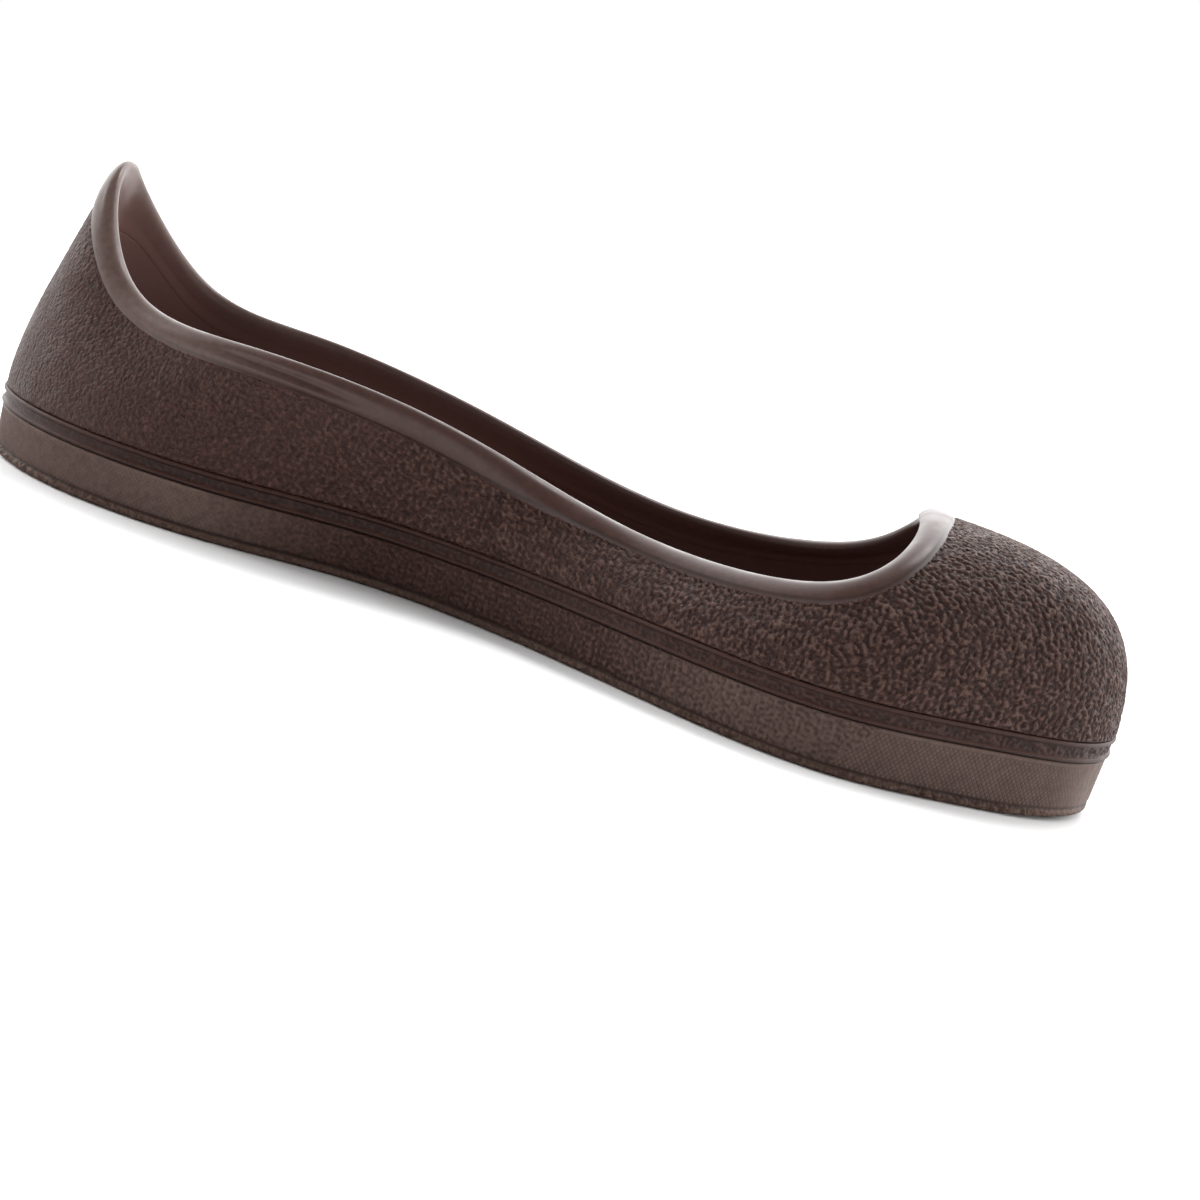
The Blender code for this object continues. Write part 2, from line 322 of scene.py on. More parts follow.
def closed_spline(knots, values, at):
    """Smooth closed cubic curve through values, whose knots run round once from 0 to 1."""
    count = len(knots)
    following = np.roll(np.arange(count), -1)
    steps = np.diff(np.append(knots, knots[0] + 1.0))
    system = np.zeros((count, count))
    slopes = (values[following] - values) / steps[:, None]
    for row in range(count):
        before = row - 1
        system[row, before] += steps[before]
        system[row, row] += 2 * (steps[before] + steps[row])
        system[row, following[row]] += steps[row]
    bend = np.linalg.solve(system, 6 * (slopes - np.roll(slopes, 1, axis=0)))
    place = np.searchsorted(knots, at, side="right") - 1
    step = steps[place][:, None]
    done = (at - knots[place])[:, None]
    left = step - done
    start, end = values[place], values[following[place]]
    bend_start, bend_end = bend[place], bend[following[place]]
    curved = (bend_start * left**3 + bend_end * done**3) / (6 * step)
    straight_start = (start / step - bend_start * step / 6) * left
    straight_end = (end / step - bend_end * step / 6) * done
    return curved + straight_start + straight_end


def section_points():
    """The table's rows as points round the foot: along the arch side, then back."""
    rows = np.array(SECTIONS)
    along, arch, outer, rim_along, rim_arch, rim_outer, rise_arch, rise_outer, bead, crown = rows.T
    along, rim_along = along * LENGTH, rim_along * LENGTH
    near = np.column_stack([along, -arch * WIDTH, rim_along, -rim_arch * WIDTH, rise_arch, bead, crown])
    far = np.column_stack([along, outer * WIDTH, rim_along, rim_outer * WIDTH, rise_outer, bead, crown])
    return np.vstack([near, far[-2:0:-1]])


class Foot:
    """The outline, the rim and the outward direction at stations spaced evenly round it."""

    def __init__(self, stations):
        points = section_points()
        chords = np.linalg.norm(points[:, :2] - np.roll(points[:, :2], -1, axis=0), axis=1)
        spans = chords**CHORD_POWER
        knots = np.concatenate([[0.0], np.cumsum(spans)[:-1]]) / spans.sum()
        coarse = closed_spline(knots, points, np.linspace(0.0, 1.0, CAD_STATIONS, endpoint=False))
        middle = (coarse[:, :2].min(axis=0) + coarse[:, :2].max(axis=0)) / 2
        samples = np.linspace(0.0, 1.0, OUTLINE_SAMPLES, endpoint=False)
        places = closed_spline(knots, points, samples)[:, :2]
        steps = np.linalg.norm(np.roll(places, -1, axis=0) - places, axis=1)
        self.perimeter = steps.sum()
        self.count = stations or round(self.perimeter / KNURL_PITCH) * STEPS_A_KNURL
        travelled = np.concatenate([[0.0], np.cumsum(steps)])
        self.round = np.linspace(0.0, self.perimeter, self.count, endpoint=False)
        at = np.interp(self.round, travelled, np.append(samples, 1.0))
        read = closed_spline(knots, points, at)
        self.along = read[:, 0] / LENGTH
        self.outline = read[:, :2] - middle
        run = unit(np.roll(self.outline, -1, axis=0) - np.roll(self.outline, 1, axis=0))
        self.outward = np.column_stack([run[:, 1], -run[:, 0]])
        self.bead = read[:, 5]
        self.crown = np.clip(read[:, 6], 0.0, 1.0)
        rise = self.upper_rib_height()[0] + read[:, 4] * UPPER_HEIGHT
        self.rim = np.column_stack([read[:, 2:4] - middle, rise])

    def band_top(self):
        return BAND_HEIGHT + TOE_RISE * self.along**RISE_POWER

    def lower_rib_height(self):
        return self.band_top() + GAP + RIB_RADIUS

    def upper_rib_height(self):
        return self.lower_rib_height() + mix((RIB_PITCH_HEEL, RIB_PITCH_TOE), self.along)

    def upper_foot_height(self):
        return self.upper_rib_height() + RIB_RADIUS + GAP

    def ring(self, inset, height):
        places = self.outline - self.outward * np.broadcast_to(inset, self.count)[:, None]
        return np.column_stack([places, np.broadcast_to(height, self.count)])


class Wall:
    """Outer face of the upper: one curve from the welt to the rim at each station."""

    def __init__(self, foot):
        self.foot = foot.ring(UPPER_INSET, foot.upper_foot_height())
        self.rim = foot.rim
        self.bead = foot.bead
        crown = foot.crown[:, None]
        height = self.rim[:, 2:] - self.foot[:, 2:]
        span = self.rim - self.foot
        span[:, 2] = 0.0
        up = np.array([0.0, 0.0, 1.0])
        outward = np.column_stack([foot.outward, np.zeros(foot.count)])
        self.low = self.foot + up * height * mix(HANDLE_CLIMB_SHARE, crown)
        side = smooth_step(0.0, HEEL_SPAN_SHARE, foot.along)[:, None]
        side_swell = mix((HEEL_SWELL, SIDE_SWELL), side)
        self.low += outward * mix((side_swell, TOE_SWELL), crown)
        self.high = self.rim - span * mix(HANDLE_REACH_SHARE, crown)
        self.high -= up * height * mix(HANDLE_DROP_SHARE, crown)
        self.stations = np.arange(foot.count)
        self.measure()

    def at(self, share, station=None):
        """Points on the wall at a share of the way up, for each of the stations named."""
        station = self.stations if station is None else station % len(self.stations)
        share = np.broadcast_to(share, station.shape)[..., None]
        rest = 1 - share
        ends = self.foot[station] * rest**3 + self.rim[station] * share**3
        handles = self.low[station] * rest + self.high[station] * share
        return ends + 3 * rest * share * handles

    def measure(self):
        self.shares = np.linspace(0.0, 1.0, PROFILE_SAMPLES)
        points = np.array([self.at(share) for share in self.shares])
        steps = np.linalg.norm(np.diff(points, axis=0), axis=2)
        self.lengths = np.vstack([np.zeros(len(self.stations)), np.cumsum(steps, axis=0)])

    def share_at(self, station, length):
        return np.interp(length, self.lengths[:, station], self.shares)

    def length_at(self, station, share):
        return np.interp(share, self.shares, self.lengths[:, station])

    def share_below_rim(self, distance):
        wanted = self.lengths[-1] - distance
        return np.array([self.share_at(station, wanted[station]) for station in self.stations])

    def directions(self, share, station=None):
        """Unit vectors up the wall, round the foot and out of the wall."""
        station = self.stations if station is None else station
        low = np.maximum(share - SHARE_STEP, 0.0)
        high = np.minimum(low + 2 * SHARE_STEP, 1.0)
        upward = unit(self.at(high, station) - self.at(low, station))
        around = unit(self.at(share, station + 1) - self.at(share, station - 1))
        return upward, around, unit(np.cross(around, upward))


class Grain:
    """Even labyrinth of ridges and pits: many waves of nearly one pitch, run every way."""

    def __init__(self, pitch, seed, count=GRAIN_WAVES, spread=GRAIN_SPREAD):
        draws = np.random.default_rng(seed)
        directions = unit(draws.normal(size=(count, 3)))
        pitches = pitch * (1 + spread * draws.uniform(-1, 1, count))
        self.waves = directions * (2 * math.pi / pitches)[:, None]
        self.phases = draws.uniform(0, 2 * math.pi, count)

    def at(self, points):
        """Height at each point, about -1 in the pits and 1 on the ridges."""
        total = np.zeros(len(points))
        for wave, phase in zip(self.waves, self.phases):
            total += np.cos(points @ wave + phase)
        return np.tanh(GRAIN_HARDNESS * total / math.sqrt(len(self.phases) / 2))


class Skin:
    """Points, triangles and values at the points, gathered for one piece."""

    # The relief value is the colour's painted shade and painted highlight of pits, ridges, grooves and
    # ribs; the second value is the share of painted light, which also holds back the small grain.
    VALUES = ("relief", "knurl", "inside", "edge")

    def __init__(self):
        self.points = []
        self.triangles = []
        self.values = {name: [] for name in self.VALUES}
        self.count = 0

    def add(self, points, **values):
        """Adds points and returns their numbers."""
        self.points.append(points)
        for name in self.VALUES:
            self.values[name].append(np.broadcast_to(values.get(name, 0.0), len(points)))
        first = self.count
        self.count += len(points)
        return np.arange(first, self.count)

    def strip(self, low, low_at, high, high_at):
        """Triangles between two rows of points that run the same way, high on the left."""
        events = np.concatenate([(low_at[1:] + low_at[:-1]) / 2, (high_at[1:] + high_at[:-1]) / 2])
        on_low = np.concatenate([np.ones(len(low) - 1, bool), np.zeros(len(high) - 1, bool)])
        on_low = on_low[np.argsort(events, kind="stable")]
        place_low = np.cumsum(on_low) - on_low
        place_high = np.cumsum(~on_low) - ~on_low
        next_low = low[np.minimum(place_low + 1, len(low) - 1)]
        next_high = high[np.minimum(place_high + 1, len(high) - 1)]
        third = np.where(on_low, next_low, next_high)
        self.triangles.append(np.column_stack([low[place_low], third, high[place_high]]))

    def ring_strip(self, low, high):
        """The same between two closed rings, whose points may differ in number."""
        low_at = np.linspace(0.0, 1.0, len(low) + 1)
        high_at = np.linspace(0.0, 1.0, len(high) + 1)
        self.strip(np.append(low, low[0]), low_at, np.append(high, high[0]), high_at)

    def ring_strips(self, rings):
        """The same from each ring of a row of rings to the next."""
        for lower, upper in zip(rings, rings[1:]):
            self.ring_strip(lower, upper)

    def grid(self, rings):
        """Triangles between equal closed rings, with diagonals that alternate."""
        rings = np.array(rings)
        low, high = rings[:-1], rings[1:]
        low_next, high_next = np.roll(low, -1, axis=1), np.roll(high, -1, axis=1)
        rows, columns = np.indices(low.shape)
        even = (rows + columns) % 2 == 0
        first = np.stack([low, low_next, np.where(even, high_next, high)], axis=-1)
        second = np.stack([np.where(even, low, low_next), high_next, high], axis=-1)
        self.triangles += [first.reshape(-1, 3), second.reshape(-1, 3)]

    def cap(self, ring, centre, turned):
        """A fan from one point to a closed ring."""
        following = np.roll(ring, -1)
        middle = np.full(len(ring), centre[0])
        pair = (following, ring) if turned else (ring, following)
        self.triangles.append(np.column_stack([*pair, middle]))

    def piece(self, name, material):
        points = np.vstack(self.points)
        triangles = np.vstack(self.triangles)
        corners = points[triangles]
        volume = np.einsum("ij,ij->i", corners[:, 0], np.cross(corners[:, 1], corners[:, 2])).sum()
        if volume < 0:
            triangles = triangles[:, ::-1]
        mesh = bpy.data.meshes.new(name)
        mesh.from_pydata(points.tolist(), [], triangles.tolist())
        for key in self.VALUES:
            layer = mesh.attributes.new(key, "FLOAT", "POINT")
            layer.data.foreach_set("value", np.concatenate(self.values[key]).astype(np.float32))
        mesh.shade_smooth()
        mesh.materials.append(material)
        piece = bpy.data.objects.new(name, mesh)
        bpy.context.scene.collection.objects.link(piece)
        print(name, len(triangles), "triangles, volume", round(abs(volume) / 6 * 1e6, 1), "cm3")
        return piece


def grain_height(grain, points, along):
    """Grain as painted shade and highlight for the colour, and its relief, both softer at the heel."""
    share = smooth_step(*GRAIN_DEEPENS, along)
    height = grain.at(points)
    return height * mix(GRAIN_PAINTED_SHADE_CONTRAST, share), height * mix(GRAIN_DEPTH, share)


GRAIN = Grain(GRAIN_PITCH, seed=3)
SOLE_GRAIN = Grain(SOLE_GRAIN_PITCH, seed=4)
RAG = Grain(FLASH_RAG_PITCH, seed=8, spread=FLASH_RAG_SPREAD)
WAVER = Grain(WAVER_PITCH, seed=5, count=WAVER_WAVES)


def hump(value, middle, width):
    """1 at the middle, and next to nothing two widths away from it."""
    return np.exp(-((value - middle) / width) ** 2)


def panel_share(foot, height):
    """1 in the knurled panels round the heel and the toe, 0 in the grained waist."""
    up = np.clip(height / foot.band_top(), 0.0, 1.0)
    heel_end = mix(HEEL_PANEL[::-1], up)
    arch_end = mix(TOE_PANEL_ARCH[::-1], up)
    outer_end = mix(TOE_PANEL_OUTER[::-1], up)
    toe_end = np.where(foot.outline[:, 1] < 0, arch_end, outer_end)
    edge = PANEL_EDGE / LENGTH
    heel = 1 - smooth_step(heel_end - edge, heel_end, foot.along)
    return np.maximum(heel, smooth_step(toe_end, toe_end + edge, foot.along))


def sole_painted_light(foot, height):
    """Painted light: paler colour towards both ends of the sole, most in the knurled panels."""
    toe = TOE_PAINTED_LIGHT * smooth_step(*TOE_PAINTED_LIGHT_SPAN, foot.along)
    heel = HEEL_PAINTED_LIGHT * (1 - smooth_step(*HEEL_PAINTED_LIGHT_SPAN, foot.along))
    at_toe = smooth_step(*PANEL_TURNS, foot.along)
    return toe + heel + mix(PANEL_PAINTED_LIGHT, at_toe) * panel_share(foot, height)


def knurl_height(around, height):
    """Small diamonds between two sets of slanting grooves, 1 on top and 0 in a groove."""
    rise = np.abs(np.sin(math.pi * (around + height) / KNURL_PITCH))
    fall = np.abs(np.sin(math.pi * (around - height) / KNURL_PITCH))
    return np.minimum(rise, fall) ** KNURL_ROUNDNESS


def side_levels(top, step):
    """Insets and heights of the sole's side, from the tread round the edge and up."""
    levels = []
    for angle in EDGE_ANGLES:
        turn = math.radians(angle)
        inset = EDGE_INSET + EDGE_RADIUS * (1 - math.sin(turn))
        levels.append((inset, EDGE_RADIUS * (1 - math.cos(turn))))
    rows = round((BAND_HEIGHT - EDGE_RADIUS) / step)
    for row in range(rows + 1):
        share = row / rows
        levels.append((mix((EDGE_INSET, BAND_INSET), share), mix((EDGE_RADIUS, top), share)))
    return levels


def knurl_ends(foot):
    """1 along the side, less at the back of the heel and at the tip of the toe."""
    fades_in = smooth_step(*KNURL_FADES_IN, foot.along)
    return fades_in * (1 - KNURL_LOST_AT_TIP * smooth_step(*KNURL_FADES_OUT, foot.along))


def flash_share(height):
    """1 on the ragged lower edge of the band, 0 on the tread and above the edge."""
    above_tread = smooth_step(0.0, FLASH_FADE, height)
    return above_tread * (1 - smooth_step(FLASH_HEIGHT - FLASH_FADE, FLASH_HEIGHT, height))


def sole_side_ring(skin, foot, row, inset, height, is_top):
    """One ring of the sole's side: knurled panels, grain, ragged lower edge and the groove above
    it, with painted shade and highlight in its tone and painted light towards the ends.
    """
    top = foot.band_top()
    step = KNURL_PITCH / STEPS_A_KNURL
    base = foot.ring(inset, height)
    height = base[:, 2]
    panel = panel_share(foot, height)
    groove = hump(height, FLASH_HEIGHT, GROOVE_WIDTH)
    on_side = smooth_step(FLASH_HEIGHT, FLASH_HEIGHT + GRAIN_FADE, height)
    on_side = on_side * smooth_step(0.0, SIDE_FADE, top - height)
    below_lip = smooth_step(PANEL_LIP - step, PANEL_LIP, top - height)
    diamonds = knurl_height(np.arange(foot.count) * step, row * step)
    grain, grain_relief = grain_height(SOLE_GRAIN, base, foot.along)
    ragged = RAG.at(base)
    knurl = panel * below_lip * on_side * knurl_ends(foot)
    waist = (1 - panel) * on_side
    flash = flash_share(height)
    tip = smooth_step(TIP_FROM, 1.0, foot.along)

    relief = waist * grain_relief + knurl * (diamonds - 1) * KNURL_DEPTH
    relief += flash * (1 - tip) * (FLASH_PROUD + FLASH_RAG * ragged + FLASH_GRAIN * grain_relief)
    relief -= groove * GROOVE_DEPTH
    if not is_top:
        base[:, :2] += foot.outward * relief[:, None]
    if 0 < row <= FRAYED_ROWS:
        base[:, 2] += FLASH_FRAY * np.maximum(ragged, 0.0)
    base[:, 2] += TIP_LIFT * tip * (1 - height / top)

    # Tone: painted shade in the waist grain's pits and the knurl's grooves, painted highlight on ridges
    # and diamonds, the knurl's stronger at the toe.
    knurl_painted_contrast = mix(KNURL_PAINTED_CONTRAST, smooth_step(*KNURL_SHARPENS, foot.along))
    tone = WAIST_GRAIN_PAINTED_SHADING * waist * grain + knurl * knurl_painted_contrast * mix(KNURL_PAINTED_SHADE_AND_HIGHLIGHT, diamonds)
    # Painted shade and highlight on the flash's rags and grain, and painted shade in the groove above it.
    tone += flash * FLASH_PAINTED_SHADING * (ragged + grain) - GROOVE_PAINTED_SHADE * groove
    # Painted light: paler colour towards the sole's ends and on its knurled panels.
    painted_light = sole_painted_light(foot, height) * smooth_step(FLASH_HEIGHT, FLASH_HEIGHT + SIDE_FADE, height)
    edge = np.maximum(flash, 1.0 - height / FLASH_HEIGHT)
    return skin.add(base, relief=tone, knurl=painted_light, edge=edge)


def sole_inside_rings(skin, foot, floor):
    """Rings from the sole's top edge down inside, round the fillet and onto the floor."""
    top = foot.band_top()
    inner = UPPER_INSET + WALL
    plain = slice(None, None, PLAIN_EVERY)
    rings = [
        skin.add(foot.ring(inner - INNER_BEVEL, top), inside=0.5),
        skin.add(foot.ring(inner, top - INNER_BEVEL)[plain], inside=1.0),
        skin.add(foot.ring(inner, floor + FLOOR_FILLET)[plain], inside=1.0),
    ]
    for angle in FILLET_ANGLES:
        turn = math.radians(angle)
        inset = inner + FLOOR_FILLET * (1 - math.cos(turn))
        height = floor + FLOOR_FILLET * (1 - math.sin(turn))
        rings.append(skin.add(foot.ring(inset, height)[plain], inside=1.0))
    return rings


def make_outsole(foot, material):
    """Knurled panels, grained waist, ragged lower edge, and the plain floor inside."""
    skin = Skin()
    top = foot.band_top()
    levels = side_levels(top, KNURL_PITCH / STEPS_A_KNURL)
    last = len(levels) - 1
    side = []
    for row, (inset, height) in enumerate(levels):
        side.append(sole_side_ring(skin, foot, row, inset, height, is_top=(row == last)))
    skin.grid(side)
    floor = top.min() - FLOOR_RECESS
    inside = sole_inside_rings(skin, foot, floor)
    skin.ring_strips([side[-1], *inside])
    floor_inset = UPPER_INSET + WALL + FLOOR_FILLET
    cap_flat(skin, foot, inside[-1], floor_inset, floor, PLAIN_EVERY, inside=1.0, turned=False)
    cap_flat(skin, foot, side[0], EDGE_INSET + EDGE_RADIUS, 0.0, 1, inside=0.0, turned=True)
    return skin.piece("outsole_moulded", material)


def cap_flat(skin, foot, ring, inset, height, every, inside, turned):
    """Flat face inside a ring: rings drawn in towards a line along its middle."""
    outline = foot.ring(inset, height)[::every]
    low, high = outline[:, 0].min() + FLAT_REACH, outline[:, 0].max() - FLAT_REACH
    spine = outline.copy()
    spine[:, 0] = np.clip(outline[:, 0], low, high)
    spine[:, 1] = 0.0
    before = ring
    for share in FLAT_SHARES:
        places = (outline * (1 - share) + spine * share)[::max(FLAT_EVERY // every, 1)]
        now = skin.add(places, inside=inside)
        if turned:
            skin.ring_strip(now, before)
        else:
            skin.ring_strip(before, now)
        before = now
    centre = skin.add(np.array([[0.0, 0.0, height]]), inside=inside)
    skin.cap(before, centre, turned)


def rib_section(inset, height):
    """Insets, heights, grain and tone of a half-round rib, from its lower to its upper edge. The
    tone is a painted highlight on top and painted shade underneath.
    """
    section = []
    for angle in RIB_ANGLES:
        across, up = math.cos(math.radians(angle)), math.sin(math.radians(angle))
        place = (inset + RIB_RADIUS * (1 - across), height + RIB_RADIUS * up)
        section.append((*place, 0.0, RIB_PAINTED_HIGHLIGHT_AND_SHADE * up))
    return section


def make_welt_strip(foot, material):
    """Two crisp ribs with a grained channel between them."""
    skin = Skin()
    low, high = foot.lower_rib_height(), foot.upper_rib_height()
    inner = UPPER_INSET + WALL
    section = rib_section(LOWER_RIB_INSET, low)
    for share in CHANNEL_SHARES:
        height = mix((low + RIB_RADIUS, high - RIB_RADIUS), share)
        section.append((CHANNEL_INSET, height, math.sin(math.pi * share) ** 0.5, 0.0))
    section += rib_section(0.0, high)
    rings = []
    for inset, height, channel, tone in section:
        points = foot.ring(inset, height)
        grain, relief = grain_height(SOLE_GRAIN, points, foot.along)
        points[:, :2] += foot.outward * (channel * relief)[:, None]
        # Painted shade and highlight of the channel's grain, painted shade in the channel and over the
        # whole welt, and the ribs' painted highlight on top and painted shade underneath.
        look = channel * (CHANNEL_GRAIN_PAINTED_SHADING * grain - CHANNEL_SHADE) + tone - WELT_SHADE
        rings.append(skin.add(points, relief=look))
    skin.grid(rings)
    plain = slice(None, None, PLAIN_EVERY)
    back = [
        skin.add(foot.ring(inner, high + RIB_RADIUS)[plain], inside=1.0),
        skin.add(foot.ring(inner, low - RIB_RADIUS)[plain], inside=1.0),
    ]
    skin.ring_strips([rings[-1], *back, rings[0]])
    return skin.piece("welt_strip_moulded", material)


def bead_length(wall):
    upward, around, _ = wall.directions(np.ones(len(wall.stations)))
    sine = np.linalg.norm(np.cross(around, upward), axis=1)
    return BEAD_WIDTH * wall.bead / sine


def wall_columns(wall, top):
    """Shares up the wall at each station, one a GRAIN_STEP from the welt to the bead."""
    columns = []
    for station in wall.stations:
        length = wall.length_at(station, top[station])
        rows = max(round(length / GRAIN_STEP), LEAST_ROWS)
        columns.append(wall.share_at(station, np.linspace(0, length, rows + 1)))
    return columns


def grained_columns(skin, foot, wall, top):
    """The grained outer face. Returns the numbers of the points in each of its columns."""
    columns = wall_columns(wall, top)
    counts = np.array([len(column) for column in columns])
    station = np.repeat(wall.stations, counts)
    share = np.concatenate(columns)
    base = wall.at(share, station)
    out = wall.directions(share, station)[2]
    below = np.concatenate([wall.length_at(place, column) for place, column in enumerate(columns)])
    total = np.repeat([wall.length_at(place, top[place]) for place in wall.stations], counts)
    fade = smooth_step(0, GRAIN_FADE, below) * smooth_step(0, GRAIN_FADE, total - below)
    grain, relief = grain_height(GRAIN, base, foot.along[station])
    relief = fade * (relief + WAVER_DEPTH * WAVER.at(base))
    # The colour's relief value is the grain's painted shade in the pits and painted highlight on the
    # ridges.
    numbers = skin.add(base + out * relief[:, None], relief=fade * grain)
    column_numbers = np.split(numbers, np.cumsum(counts)[:-1])
    column_at = [column / column[-1] for column in columns]
    for place in wall.stations:
        after = (place + 1) % len(columns)
        skin.strip(column_numbers[after], column_at[after], column_numbers[place], column_at[place])
    return column_numbers


def plain_inside_rings(skin, wall, top):
    """The smooth inner face, in rings from the bead down to the welt."""
    rings = []
    for row in range(PLAIN_ROWS, -1, -1):
        level = top * row / PLAIN_ROWS
        ring = wall.at(level) - wall.directions(level)[2] * WALL
        if row == 0:
            ring[:, 2] = wall.foot[:, 2]
        rings.append(skin.add(ring[::PLAIN_EVERY], inside=1.0))
    return rings


def make_upper(foot, wall, material):
    """Grained wall: columns of points up the wall, as many in each as its height needs."""
    skin = Skin()
    top = wall.share_below_rim(bead_length(wall) + GAP)
    columns = grained_columns(skin, foot, wall, top)
    highest = np.array([column[-1] for column in columns])
    lowest = np.array([column[0] for column in columns])
    skin.ring_strips([highest, *plain_inside_rings(skin, wall, top), lowest])
    return skin.piece("upper_grained", material)


def bead_path():
    """The bead's section as a smooth open path, with its straight foot left flat."""
    rows = np.array(BEAD_SECTION)
    scale = np.array([BEAD_WIDTH, WALL, BEAD_PROUD])
    steps = np.linalg.norm(np.diff(rows * scale, axis=0), axis=1)
    at = np.concatenate([[0.0], np.cumsum(steps)]) / steps.sum()
    slopes = np.gradient(rows, at, axis=0)
    places = np.linspace(0.0, 1.0, BEAD_STEPS)
    left = np.clip(np.searchsorted(at, places, side="right") - 1, 0, len(at) - 2)
    width = (at[left + 1] - at[left])[:, None]
    done = ((places - at[left]) / (at[left + 1] - at[left]))[:, None]
    rest = 1 - done
    start = rows[left] * (1 + 2 * done) * rest**2 + slopes[left] * width * done * rest**2
    end = rows[left + 1] * done**2 * (3 - 2 * done) - slopes[left + 1] * width * done**2 * rest
    return start + end


def bead_lobes(up):
    """How far the bead's outside is pushed out at a share of the way up it."""
    ridge_depth, ridge_place, ridge_width = LOBE_RIDGE
    valley_depth, valley_place, valley_width = LOBE_VALLEY
    ridge = ridge_depth * hump(up, ridge_place, ridge_width)
    return ridge - valley_depth * hump(up, valley_place, valley_width)


def lip_rings(skin, wall, length):
    """Rings of the lip, which runs down the wall's inner face below the bead's seam."""
    rings = []
    for below_seam, in_front in LIP_RINGS:
        place = wall.share_below_rim(length + LIP_REACH * below_seam)
        inward = -wall.directions(place)[2]
        points = wall.at(place) + inward * (WALL + LIP_THICK * in_front)
        rings.append(skin.add(points, inside=1.0))
    return rings


def make_rim(foot, wall, material):
    """Smooth bead, with a thin lip that runs down over its seam on the inside."""
    skin = Skin()
    length = bead_length(wall)
    share = wall.share_below_rim(length)
    base = wall.at(share)
    out = wall.directions(share)[2]
    climb = wall.rim - base
    stands_out = BEAD_PROUD * np.interp(wall.bead, BEAD_WIDENS, BEAD_FLATTENS)
    lobes = smooth_step(*LOBES_RISE, foot.along) * (1 - smooth_step(*LOBES_SINK, foot.along))
    # Painted highlight: the bead is paler round the heel.
    painted_light = BEAD_PAINTED_HIGHLIGHT * (1 - smooth_step(*BEAD_PAINTED_HIGHLIGHT_SPAN, foot.along))
    rings = []
    for up, across, proud in bead_path():
        reach = (across - 1) * WALL + proud * stands_out
        on_outside = smooth_step(*BEAD_OUTSIDE, across)
        shift = reach + on_outside * lobes * bead_lobes(up)
        points = base + climb * up + out * shift[:, None]
        inside = (1 - smooth_step(*BEAD_INSIDE, across)) * (1 - up) ** BEAD_INSIDE_POWER
        seam = -SEAM_SHADE * on_outside * hump(up, 0.0, SEAM_WIDTH)
        rings.append(skin.add(points, inside=inside, relief=seam, knurl=painted_light))
    rings += lip_rings(skin, wall, length)
    skin.grid(rings)
    skin.ring_strip(rings[-1], rings[0])
    return skin.piece("topline_rim_smooth", material)


class Nodes:
    """Short calls for building a node tree."""

    def __init__(self, tree):
        self.tree = tree

    def new(self, kind, **settings):
        node = self.tree.nodes.new(kind)
        for name, value in settings.items():
            setattr(node, name, value)
        return node

    def feed(self, socket, value):
        if isinstance(value, bpy.types.NodeSocket):
            self.tree.links.new(value, socket)
        else:
            socket.default_value = value

    def math(self, operation, first, second=0.0):
        node = self.new("ShaderNodeMath", operation=operation)
        self.feed(node.inputs[0], first)
        self.feed(node.inputs[1], second)
        return node.outputs[0]

    def span(self, value, low, high, to_low=0.0, to_high=1.0):
        """Value moved smoothly from the range low, high to the range to_low, to_high."""
        node = self.new("ShaderNodeMapRange", interpolation_type="SMOOTHSTEP")
        ends = {"From Min": low, "From Max": high, "To Min": to_low, "To Max": to_high}
        for name, number in ends.items():
            self.feed(node.inputs[name], number)
        self.feed(node.inputs["Value"], value)
        return node.outputs["Result"]

    def blend(self, share, first, second, kind="MIX"):
        node = self.new("ShaderNodeMix", data_type="RGBA", blend_type=kind)
        self.feed(node.inputs["Factor"], share)
        self.feed(node.inputs["A"], first)
        self.feed(node.inputs["B"], second)
        return node.outputs["Result"]

    def value(self, name):
        return self.new("ShaderNodeAttribute", attribute_name=name).outputs["Fac"]

    def noise(self, size, detail=2.0, rough=0.5):
        """Noise whose blotches are about one size across, in metres."""
        place = self.new("ShaderNodeTexCoord").outputs["Object"]
        node = self.new("ShaderNodeTexNoise")
        self.feed(node.inputs["Vector"], place)
        self.feed(node.inputs["Scale"], 0.5 / size)
        self.feed(node.inputs["Detail"], detail)
        self.feed(node.inputs["Roughness"], rough)
        return node.outputs["Fac"]

    def bump(self, height, depth, strength, normal=None):
        node = self.new("ShaderNodeBump")
        self.feed(node.inputs["Height"], height)
        self.feed(node.inputs["Strength"], strength)
        self.feed(node.inputs["Distance"], depth)
        if normal:
            self.feed(node.inputs["Normal"], normal)
        return node.outputs["Normal"]


def opaque(colour):
    return (*colour, 1.0)


def small_grain(nodes):
    """Small grain between the ridges of the relief."""
    return nodes.noise(SMALL_GRAIN_SIZE, detail=1.5, rough=0.5)


